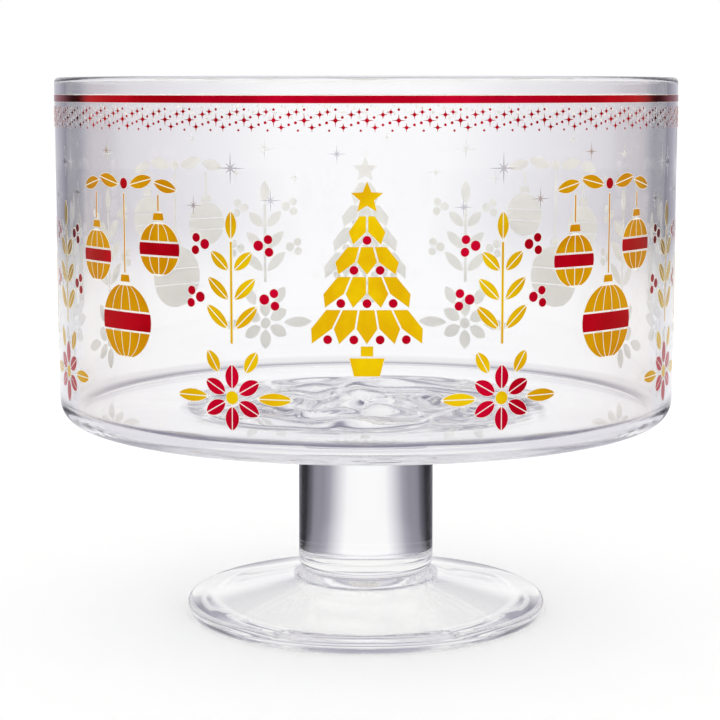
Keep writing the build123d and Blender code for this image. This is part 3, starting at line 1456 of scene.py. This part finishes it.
@dataclass(frozen=True)
class Baubles(Motif):
    """Groups of three baubles that hang from a twig.

    Attributes:
        balls: Centre, radius and gore count of each bauble.
        band_share: Half width of a band as a share of the radius.
        crown_rest: What a gold cap stays short of the ball's highest point.
        cap_height: Height of the hanger above a bauble, with the gap below it.
        cap_widths: Lower and upper width of the hanger.
        string_top: Upper end of the strings.
        string_width: Width of the strings.
        string_margin: White margin of the strings.
        leaves: Start across and up, length, width and slope of each leaf on one side.
        berry: Level and radius of the berry.
    """

    copies: int = 4
    start: float = 1.0
    balls: tuple[tuple[float, float, float, int], ...] = (
        (0.0, 42.0, 12.0, 5),
        (-15.5, 62.0, 8.5, 4),
        (15.5, 65.5, 8.5, 4),
    )
    band_share: float = 0.26
    crown_rest: float = 0.02
    cap_height: float = 2.8
    cap_widths: Span = (5.0, 4.0)
    string_top: float = 82.5
    string_width: float = 0.95
    string_margin: float = 0.2
    leaves: Leaves = (
        (2.6, 85.0, 11.0, 4.4, 12.0),
        (13.5, 86.2, 10.0, 4.2, -14.0),
    )
    berry: Span = (85.4, 1.9)

    def draw_ball(self, gold: Drawing, red: Drawing, centre: Point, radius: float, gores: int) -> None:
        """Draws a bauble: gold gores over and under a red band, with a hanger and a string.

        Args:
            gold: Drawing of the gold films.
            red: Drawing of the red films.
            centre: Centre of the bauble.
            radius: Its radius.
            gores: Number of gores.
        """
        x, y = centre
        band = self.band_share * radius
        low = band + FILM_GAP / 2
        inner = radius - PRINT_MARGIN
        whole = arch(centre, radius, low, radius - self.crown_rest, (-1, 1), 0.0)
        meridians = [2 * k / gores - 1 for k in range(gores + 1)]
        pieces = [
            arch(centre, inner, low + PRINT_MARGIN, inner, sides, VEIN / 2)
            for sides in zip(meridians, meridians[1:])
        ]
        gold.under_print.append(whole)
        gold.foil.extend(pieces)
        gold.under_print.append([(a, 2 * y - b) for a, b in reversed(whole)])
        gold.foil.extend([(a, 2 * y - b) for a, b in reversed(piece)] for piece in pieces)
        half = band - FILM_GAP / 2
        edge = half - PRINT_MARGIN
        red.under_print.append(arch(centre, radius, -half, half, (-1, 1), 0.0))
        red.foil.append(arch(centre, inner, -edge, edge, (-1, 1), 0.0))
        cap = y + radius
        string_low = cap + self.cap_height + FILM_GAP
        gold.add(box(x, cap + FILM_GAP, cap + self.cap_height, *self.cap_widths))
        string = box(x, string_low, self.string_top, self.string_width, self.string_width)
        gold.add(string, self.string_margin)

    def films(self, wall: Wall) -> list[Film]:
        """Draws one group.

        Args:
            wall: Wall that it hangs on; not used.

        Returns:
            Its gold and its red film.
        """
        gold = Film("bauble_foil", Slot.GOLD)
        red = Film("bauble_bands", Slot.RED)
        for x, y, radius, gores in self.balls:
            self.draw_ball(gold.drawing, red.drawing, (x, y), radius, gores)
        add_leaf_pairs(gold.drawing, self.leaves)
        red.drawing.add(dot(0, *self.berry))
        return [gold, red]


def add_leaf_pairs(drawing: Drawing, leaves: Leaves) -> None:
    """Adds leaves on the right and their mirror images on the left.

    Args:
        drawing: Drawing that takes the leaves.
        leaves: Start across and up, length, width and slope of each leaf on the right.
    """
    for side, flip in ((0, 1), (1, -1)):
        for x, y, length, width, slope in leaves:
            drawing.add_leaf(x * flip, y, length, width, 180 * side + slope * flip)


@dataclass(frozen=True)
class Candles(Motif):
    """Groups of three candles on a leafy holder.

    Attributes:
        tops: Place across and upper end of each candle.
        foot: Level that the candles stand on.
        width: Width of a candle.
        flame: Rise over the candle, length and width of a flame.
        holder_low: Lower edge of the holder.
        holder_widths: Width of the holder at its lower and upper edge.
        holder_parts: Number of parts of the holder.
        leaves: Start across and up, length, width and slope of each leaf on one side.
        berries: Level and radius of each berry.
    """

    copies: int = 2
    start: float = 2.0
    tops: tuple[Point, ...] = ((-11.5, 59.0), (0.0, 66.5), (11.5, 59.0))
    foot: float = 38.6
    width: float = 7.6
    flame: Triple = (1.4, 11.0, 5.6)
    holder_low: float = 34.6
    holder_widths: Span = (24.0, 34.0)
    holder_parts: int = 4
    leaves: Leaves = (
        (2.8, 32.0, 15.0, 4.8, 3.0),
        (2.6, 29.8, 12.0, 4.6, -22.0),
    )
    berries: tuple[Span, ...] = ((31.6, 1.9), (27.2, 1.9))

    def films(self, wall: Wall) -> list[Film]:
        """Draws one group.

        Args:
            wall: Wall that it stands on; not used.

        Returns:
            Its gold and its red film.
        """
        gold = Film("candle_foil", Slot.GOLD)
        red = Film("candle_flames", Slot.RED)
        rise, flame_length, flame_width = self.flame
        for x, top in self.tops:
            gold.drawing.add(box(x, self.foot + FILM_GAP, top, self.width, self.width))
            red.drawing.add(Leaf(x, top + rise, flame_length, flame_width, 90).outline())
        low_width, high_width = self.holder_widths
        half_low = low_width / self.holder_parts / 2 - FILM_GAP / 2
        half_high = high_width / self.holder_parts / 2 - FILM_GAP / 2
        for k in range(self.holder_parts):
            middle = (k + 0.5) / self.holder_parts - 0.5
            gold.drawing.add([
                (low_width * middle - half_low, self.holder_low),
                (low_width * middle + half_low, self.holder_low),
                (high_width * middle + half_high, self.foot),
                (high_width * middle - half_high, self.foot),
            ])
        add_leaf_pairs(gold.drawing, self.leaves)
        for level, radius in self.berries:
            red.drawing.add(dot(0, level, radius))
        return [gold, red]


@dataclass(frozen=True)
class Sprays(Motif):
    """Upright sprays with paired leaves and berries.

    Attributes:
        twig: Lower and upper end of the twig.
        twig_width: Width of the twig.
        twig_margin: White margin of the twig.
        top_length: Length of the leaf at the top.
        leaf_width: Width of every leaf.
        pairs: Level and leaf length of each pair.
        pair_turn: Slope of the paired leaves in degrees.
        berry_reach: Distance of a berry from the tip of its leaf.
        berry_radius: Radius of that berry.
        small_radius: Radius of the two berries beside it.
        berry_margin: White margin of the berries.
        cluster: Places of the two berries beside it.
    """

    copies: int = COLUMNS
    start: float = 0.5
    twig: Span = (37.5, 69.0)
    twig_width: float = 1.2
    twig_margin: float = 0.25
    top_length: float = 9.0
    leaf_width: float = 4.0
    pairs: tuple[Point, ...] = ((42.0, 11.0), (51.0, 10.0), (60.0, 8.5))
    pair_turn: float = 44.0
    berry_reach: float = 2.8
    berry_radius: float = 1.8
    small_radius: float = 1.6
    berry_margin: float = 0.22
    cluster: tuple[Point, ...] = ((3.1, 1.9), (3.4, -1.9))

    def films(self, wall: Wall) -> list[Film]:
        """Draws one spray, with berries at its lowest and its highest pair.

        Args:
            wall: Wall that it stands on; not used.

        Returns:
            Its gold and its red film.
        """
        gold = Film("spray_foil", Slot.GOLD)
        red = Film("spray_berries", Slot.RED)
        gold.drawing.add(box(0, *self.twig, self.twig_width, self.twig_width), self.twig_margin)
        gold.drawing.add_leaf(0, self.twig[1] + FILM_GAP, self.top_length, self.leaf_width, 90)
        start = self.twig_width / 2 + FILM_GAP
        for y, length in self.pairs:
            gold.drawing.add_leaf(start, y, length, self.leaf_width, self.pair_turn)
            gold.drawing.add_leaf(-start, y, length, self.leaf_width, 180 - self.pair_turn)
        for y, length in self.pairs[::2]:
            across, up = spoke(self.pair_turn, length + self.berry_reach)
            for way in (1, -1):
                place = (start + across) * way
                red.drawing.add(dot(place, y + up, self.berry_radius), self.berry_margin)
                for aside, lift in self.cluster:
                    place = (start + across + aside) * way
                    red.drawing.add(dot(place, y + up + lift, self.small_radius), self.berry_margin)
        return [gold, red]


@dataclass(frozen=True)
class Flowers(Motif):
    """Low flowers with a gold centre and leaves.

    Attributes:
        level: Level of the centre.
        petals: Number of petals.
        petal_start: Distance of a petal from the centre.
        petal_size: Length and width of a petal.
        leaf_width: Width of a leaf.
        leaves: Direction, distance from the centre and length of each leaf.
    """

    copies: int = COLUMNS
    start: float = 0.5
    level: float = 21.0
    petals: int = 6
    petal_start: float = 2.5
    petal_size: Span = (8.0, 4.8)
    leaf_width: float = 4.2
    leaves: tuple[Triple, ...] = (
        (0.0, 8.0, 12.0),
        (180.0, 8.0, 12.0),
        (60.0, 8.8, 8.0),
        (120.0, 8.8, 8.0),
    )

    def films(self, wall: Wall) -> list[Film]:
        """Draws one flower.

        Args:
            wall: Wall that it lies on; not used.

        Returns:
            Its red and its gold film.
        """
        red = Film("flower_petals", Slot.RED)
        gold = Film("flower_foil", Slot.GOLD)
        gold.drawing.add(dot(0, self.level, self.petal_start - FILM_GAP))
        for turn, start, length in self.leaves:
            x, rise = spoke(turn, start)
            gold.drawing.add_leaf(x, self.level + rise, length, self.leaf_width, turn)
        for k in range(self.petals):
            turn = 90 + 360.0 * k / self.petals
            x, rise = spoke(turn, self.petal_start)
            red.drawing.add_leaf(x, self.level + rise, *self.petal_size, turn)
        return [red, gold]


@dataclass(frozen=True)
class SilverStars(Motif):
    """Loose silver stars of one column and the gap after it.

    Attributes:
        gap_stars: Place across, level and reach of the stars in the gap.
        column_stars: Place across, level and reach of the stars in the column.
        short_share: Reach of the short rays as a share of the long ones'.
        core_share: Radius of the core as a share of the long rays' reach.
        spread: Angle from the middle of a ray to its root, in degrees.
    """

    copies: int = COLUMNS
    start: float = 0.25
    gap_stars: tuple[Triple, ...] = ((0.0, 91.0, 5.0), (-13.0, 79.5, 3.2), (13.0, 81.5, 3.6))
    column_stars: tuple[Triple, ...] = ((-9.0, 95.5, 3.0),)
    short_share: float = 0.46
    core_share: float = 0.13
    spread: float = 22.5

    def films(self, wall: Wall) -> list[Film]:
        """Draws the stars of one column.

        Args:
            wall: Wall that they lie on.

        Returns:
            Their film.
        """
        silver = Film("silver_stars", Slot.SILVER)
        quarter = wall.girth / self.copies / 4
        for shift, stars in ((quarter, self.gap_stars), (-quarter, self.column_stars)):
            for x, y, size in stars:
                short = self.short_share * size
                core = self.core_share * size
                silver.drawing.add_bare(twinkle(x + shift, y, size, short, core, self.spread))
        return [silver]


@dataclass
class Decoration:
    """All films on the outside of the wall.

    Attributes:
        wall: Wall that they lie on.
        motifs: Motifs in the order in which they are laid.
    """

    wall: Wall
    motifs: tuple[Motif, ...] = (
        RimStripe(),
        Border(),
        FirTrees(),
        Baubles(),
        Candles(),
        Sprays(),
        Flowers(),
        SilverStars(),
    )

    def build(self) -> list[bpy.types.Object]:
        """Lays every film on the wall and dresses it.

        Returns:
            The finished objects.
        """
        wrap = WallWrap(self.wall)
        under_print = UnderPrintFinish().material()
        foils = {finish.slot: finish.material() for finish in FOILS}
        pieces = []
        for motif in self.motifs:
            start = motif.start * 360.0 / COLUMNS
            for film in motif.films(self.wall):
                pieces.append(wrap.lay(film, motif.copies, start, under_print, foils[film.slot]))
        return pieces


# Stage


@dataclass(frozen=True)
class Viewpoint:
    """Camera place and lens that match the photograph.

    Attributes:
        side: Distance to the left of the axis, in metres.
        distance: Distance in front of the axis.
        height: Level of the lens.
        pitch: Downward tilt in radians.
        focal_share: Focal length as a share of the picture's width.
        sensor_width: Width of the sensor in millimetres.
        clip_start: Nearest distance that shows.
    """

    side: float = 0.0021
    distance: float = 0.7036
    height: float = 0.1851
    pitch: float = 0.135
    focal_share: float = 1996.0 / 720.0
    sensor_width: float = 36.0
    clip_start: float = 0.01

    def build(self) -> None:
        """Sets the camera."""
        data = bpy.data.cameras.new("camera")
        data.sensor_width = self.sensor_width
        data.lens = self.focal_share * self.sensor_width
        data.clip_start = self.clip_start
        camera = bpy.data.objects.new("camera", data)
        camera.location = (-self.side, -self.distance, self.height)
        camera.rotation_euler = (math.pi / 2 - self.pitch, 0.0, 0.0)
        bpy.context.collection.objects.link(camera)
        bpy.context.scene.camera = camera


def cool_grey(level: float) -> Rgba:
    """Grey of the room, a little violet where it is dim.

    Args:
        level: Brightness from 0 to 1.

    Returns:
        Linear colour.
    """
    green_loss = 0.04
    blue_gain = 0.2
    dim = 1.0 - level
    return (level, level * (1.0 - green_loss * dim), level * (1.0 + blue_gain * dim), 1.0)


@dataclass(frozen=True)
class RoomTones:
    """Tones of the room that only glass and metal see, and its plain light for all else.

    Levels go by the share of a half turn from the camera's side.

    Attributes:
        far: Levels at the horizon.
        middle: Levels of the floor at middle distance.
        near: Levels of the floor round the object.
        upper: Levels over the horizon.
        warm_side: Tone of both sides in what the surfaces of the object mirror.
        warm_rise: Shares of a half turn between which that tone sets in.
        warm_fall: Shares of a half turn between which it ends.
        plain_light: Level of the light on matt surfaces.
    """

    far: Levels = (
        (0.00, 1.00),
        (0.16, 1.00),
        (0.34, 0.66),
        (0.62, 0.60),
        (0.66, 0.45),
        (0.695, 0.03),
        (0.74, 0.03),
        (0.79, 0.22),
        (0.82, 0.30),
        (0.885, 0.46),
        (0.925, 0.60),
        (0.955, 0.78),
        (0.985, 0.98),
    )
    middle: Levels = (
        (0.00, 1.00),
        (0.40, 1.00),
        (0.60, 0.85),
        (0.72, 0.70),
        (0.84, 0.90),
        (0.90, 1.00),
    )
    near: Levels = (
        (0.00, 1.00),
        (0.07, 1.00),
        (0.16, 0.35),
        (0.28, 0.03),
        (0.40, 0.03),
        (0.46, 0.75),
        (0.53, 0.75),
        (0.565, 0.03),
        (0.60, 0.01),
        (0.74, 0.01),
        (0.785, 0.12),
        (0.82, 0.22),
        (0.86, 0.27),
        (0.89, 0.38),
        (0.93, 0.80),
        (0.95, 1.00),
    )
    upper: Levels = (
        (0.00, 0.80),
        (0.30, 0.70),
        (0.50, 0.60),
        (0.62, 0.45),
        (0.70, 0.12),
        (0.76, 0.12),
        (0.82, 0.45),
        (0.88, 0.75),
        (0.93, 0.95),
        (1.00, 1.00),
    )
    warm_side: Rgba = (0.72, 0.50, 0.33, 1.0)
    warm_rise: Span = (0.20, 0.44)
    warm_fall: Span = (0.64, 0.70)
    plain_light: Rgba = WHITE


@dataclass
class RoomBench(NodeBench):
    """Adds the nodes of the room's tones to the tree of the floor or the world.

    Attributes:
        tones: Tones of the room.
    """

    FIRST_BOUNCE: ClassVar[Span] = (0.0, 1.0)

    tones: RoomTones = RoomTones()

    def rays(self) -> bpy.types.bpy_prop_collection:
        """Adds a Light Path node and gives its outputs."""
        return self.add("ShaderNodeLightPath").outputs

    def turn(self, vector: Socket) -> tuple[Socket, Socket]:
        """Adds nodes that find how far a direction is turned from the camera's side.

        Args:
            vector: Direction or place.

        Returns:
            Share of a half turn, and the upright part of the vector.
        """
        axes = self.add("ShaderNodeSeparateXYZ", {0: vector}).outputs
        side = self.math("ABSOLUTE", axes["X"])
        front = self.math("MULTIPLY", axes["Y"], -1.0)
        return self.math("DIVIDE", self.math("ARCTAN2", side, front), math.pi), axes["Z"]

    def tone(self, turn: Socket, levels: Levels) -> Socket:
        """Adds a ramp of room levels.

        Args:
            turn: Share of a half turn from the camera's side.
            levels: Positions and levels.

        Returns:
            Its colour.
        """
        return self.ramp(turn, [(position, cool_grey(level)) for position, level in levels])

    def warm_sides(self, rays: bpy.types.bpy_prop_collection, turn: Socket, tone: Socket) -> Socket:
        """Gives both sides of the room a warm tone in what the surfaces of the object mirror.

        Args:
            rays: Outputs of the Light Path node.
            turn: Share of a half turn from the camera's side.
            tone: Colour of the room for all other light.

        Returns:
            The blended colour.
        """
        mirrored = self.math("SUBTRACT", rays["Glossy Depth"], rays["Transmission Depth"])
        side = self.blend(turn, self.tones.warm_rise, tone, self.tones.warm_side)
        side = self.blend(turn, self.tones.warm_fall, side, tone)
        return self.blend(mirrored, self.FIRST_BOUNCE, tone, side)

    def show(self, rays: bpy.types.bpy_prop_collection, seen: Socket, room: Socket, output: str) -> None:
        """Shows one shader to the camera and another to all other light.

        Args:
            rays: Outputs of the Light Path node.
            seen: Shader that the camera sees.
            room: Shader for all other light.
            output: Name of the tree's output node.
        """
        mix = self.add("ShaderNodeMixShader", {"Fac": rays["Is Camera Ray"], 1: room, 2: seen})
        self.feed(self.tree.nodes[output], {"Surface": mix.outputs[0]})


@dataclass(frozen=True)
class StudioFloor:
    """Wide pale floor that keeps the shadow of the object.

    Distances are from the axis, in metres. A slant is 0 for light straight from above and 1 for
    light along the floor.

    Attributes:
        radius: Radius of the floor.
        segments: Number of its sides.
        level: Its level, a hair under the foot.
        colour: Linear colour.
        roughness: Its roughness.
        glow: Light of its own, which brings it up to the white backdrop.
        under_foot: Tone under the foot.
        painted_floor_shade: Painted shade: a dim grey that glass and metal see on the floor under the bowl,
            and wherever their light meets the near floor steeply.
        inner_shade: Tone for light that is mirrored inside the glass.
        base_shade: Tone close by, seen through the wall and the floor of the bowl.
        base_light: Tone further off, seen through them.
        foot_edge: Distances between which the tone under the foot ends.
        bowl_edge: Distances between which the tone under the bowl ends.
        base_edge: Distances between which the base's shade turns light.
        near_edge: Distances between which the near tone ends.
        far_edge: Distances between which the middle tone turns to the far one.
        near_slant: Slants between which the near tone sets in.
        base_slant: Slants between which the base's tone sets in.
        base_layers: Counts of glass surfaces between which the base's tone sets in.
    """

    radius: float = 4.0
    segments: int = 96
    level: float = -0.2 * MM
    colour: Rgba = (0.78, 0.78, 0.78, 1.0)
    roughness: float = 0.9
    glow: float = 0.3
    under_foot: Rgba = (0.97, 0.97, 0.95, 1.0)
    # Painted shade: the dim grey that glass and metal see on the floor under the bowl
    painted_floor_shade: Rgba = (0.78, 0.77, 0.81, 1.0)
    inner_shade: Rgba = (0.20, 0.20, 0.23, 1.0)
    base_shade: Rgba = (0.16, 0.15, 0.22, 1.0)
    base_light: Rgba = (0.88, 0.87, 0.88, 1.0)
    foot_edge: Span = (0.066, 0.08)
    bowl_edge: Span = (0.08, 0.1)
    base_edge: Span = (0.19, 0.37)
    near_edge: Span = (0.40, 0.50)
    far_edge: Span = (0.9, 2.2)
    near_slant: Span = (0.742, 0.756)
    base_slant: Span = (0.4, 0.6)
    base_layers: Span = (3.0, 4.0)

    def room_tone(self, bench: RoomBench, rays: bpy.types.bpy_prop_collection) -> Socket:
        """Adds the tone of the floor for light that doesn't come straight from the camera.

        Args:
            bench: Bench for the floor's tree.
            rays: Outputs of the Light Path node.

        Returns:
            The tone.
        """
        place = bench.add("ShaderNodeNewGeometry").outputs["Position"]
        turn, _ = bench.turn(place)
        slant = bench.add("ShaderNodeLayerWeight").outputs["Facing"]
        reach = bench.add("ShaderNodeVectorMath", {0: place})
        reach.operation = "LENGTH"
        distance = reach.outputs["Value"]
        layers = rays["Transmission Depth"]
        inner = bench.math("MINIMUM", rays["Glossy Depth"], layers)
        near = bench.tone(turn, bench.tones.near)
        near = bench.blend(inner, bench.FIRST_BOUNCE, near, self.inner_shade)
        # Steep light here, also through the bowl's floor, gets the painted shade of the floor under the bowl
        near = bench.blend(slant, self.near_slant, self.painted_floor_shade, near)
        base = bench.blend(distance, self.base_edge, self.base_shade, self.base_light)
        base = bench.blend(slant, self.base_slant, self.painted_floor_shade, base)
        near = bench.blend(layers, self.base_layers, near, base)
        middle = bench.tone(turn, bench.tones.middle)
        tone = bench.blend(distance, self.far_edge, middle, bench.tone(turn, bench.tones.far))
        tone = bench.warm_sides(rays, turn, tone)
        tone = bench.blend(distance, self.near_edge, near, tone)
        # The floor under the foot stays near white; round it, under the bowl, lies the painted shade
        under = bench.blend(distance, self.foot_edge, self.under_foot, self.painted_floor_shade)
        tone = bench.blend(distance, self.bowl_edge, under, tone)
        return bench.blend(rays["Diffuse Depth"], bench.FIRST_BOUNCE, tone, bench.tones.plain_light)

    def material(self) -> bpy.types.Material:
        """Makes the material of the floor.

        Returns:
            A matt material to the camera, and the room's tones to all other light.
        """
        material, _, shader = new_material("floor")
        bench = RoomBench(material.node_tree)
        bench.feed(shader, {
            "Base Color": self.colour,
            "Roughness": self.roughness,
            "Specular IOR Level": 0.0,
            "Emission Color": WHITE,
            "Emission Strength": self.glow,
        })
        rays = bench.rays()
        room = bench.add("ShaderNodeEmission", {"Color": self.room_tone(bench, rays)})
        bench.show(rays, shader.outputs[0], room.outputs[0], "Material Output")
        return material

    def build(self) -> None:
        """Lays the floor."""
        sheet = bmesh.new()
        bmesh.ops.create_circle(sheet, cap_ends=True, segments=self.segments, radius=self.radius)
        mesh = bpy.data.meshes.new("floor")
        sheet.to_mesh(mesh)
        sheet.free()
        mesh.materials.append(self.material())
        floor = bpy.data.objects.new("floor", mesh)
        floor.location = (0.0, 0.0, self.level)
        bpy.context.collection.objects.link(floor)


@dataclass(frozen=True)
class StudioRoom:
    """White room with grey sides, a dark strip on each hand, a dim ceiling and a white zenith.

    Attributes:
        ceiling: Tone of the ceiling.
        zenith: Tone straight above.
        through_glass: Level of the light that reaches matt surfaces through glass walls.
        upper_rise: Upright parts of a direction between which the upper tone sets in.
        ceiling_rise: Upright parts between which the ceiling sets in.
        zenith_rise: Upright parts between which the zenith sets in.
        glass_layers: Counts of glass surfaces over which the light through them is raised.
    """

    ceiling: Rgba = (0.36, 0.35, 0.42, 1.0)
    zenith: Rgba = WHITE
    through_glass: Rgba = (2.8, 2.8, 2.8, 1.0)
    upper_rise: Span = (0.04, 0.14)
    ceiling_rise: Span = (0.24, 0.36)
    zenith_rise: Span = (0.6, 0.85)
    glass_layers: Span = (2.0, 6.0)

    def build(self) -> None:
        """Sets the world."""
        world = bpy.data.worlds.new("studio")
        bpy.context.scene.world = world
        world.use_nodes = True
        world.cycles.sampling_method = "NONE"
        bench = RoomBench(world.node_tree)
        turn, upright = bench.turn(bench.add("ShaderNodeTexCoord").outputs["Generated"])
        rays = bench.rays()
        far = bench.warm_sides(rays, turn, bench.tone(turn, bench.tones.far))
        tone = bench.blend(upright, self.upper_rise, far, bench.tone(turn, bench.tones.upper))
        tone = bench.blend(upright, self.ceiling_rise, tone, self.ceiling)
        tone = bench.blend(upright, self.zenith_rise, tone, self.zenith)
        layers = rays["Transmission Depth"]
        plain = bench.blend(layers, self.glass_layers, bench.tones.plain_light, self.through_glass)
        tone = bench.blend(rays["Diffuse Depth"], bench.FIRST_BOUNCE, tone, plain)
        room = world.node_tree.nodes["Background"]
        bench.feed(room, {"Color": tone})
        white = bench.add("ShaderNodeBackground", {"Color": WHITE})
        bench.show(rays, white.outputs[0], room.outputs[0], "World Output")


@dataclass(frozen=True)
class LightPaths:
    """Number of bounces that light gets, enough for all the layers of glass.

    Attributes:
        bounces: Bounces in all, and inside glass.
        clear_layers: Fully clear faces that light passes.
    """

    bounces: int = 96
    clear_layers: int = 32

    def build(self) -> None:
        """Sets the bounces and the view transform."""
        scene = bpy.context.scene
        scene.view_settings.view_transform = "Standard"
        scene.cycles.max_bounces = self.bounces
        scene.cycles.transmission_bounces = self.bounces
        scene.cycles.glossy_bounces = self.bounces
        scene.cycles.transparent_max_bounces = self.clear_layers


def main() -> None:
    logging.basicConfig(level=logging.INFO)
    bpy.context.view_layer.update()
    glassware = Glassware.from_frame()
    bowl = glassware.bowl
    decoration = Decoration(Wall(bowl.radius, bowl.base_level, bowl.height))
    for assembly in (glassware, decoration):
        for piece in assembly.build():
            LOG.info("%s: %d faces", piece.name, len(piece.data.polygons))
    for part in (StudioFloor(), StudioRoom(), Viewpoint(), LightPaths()):
        part.build()
        LOG.info("stage: %s", type(part).__name__)


if __name__ == "__main__":
    main()
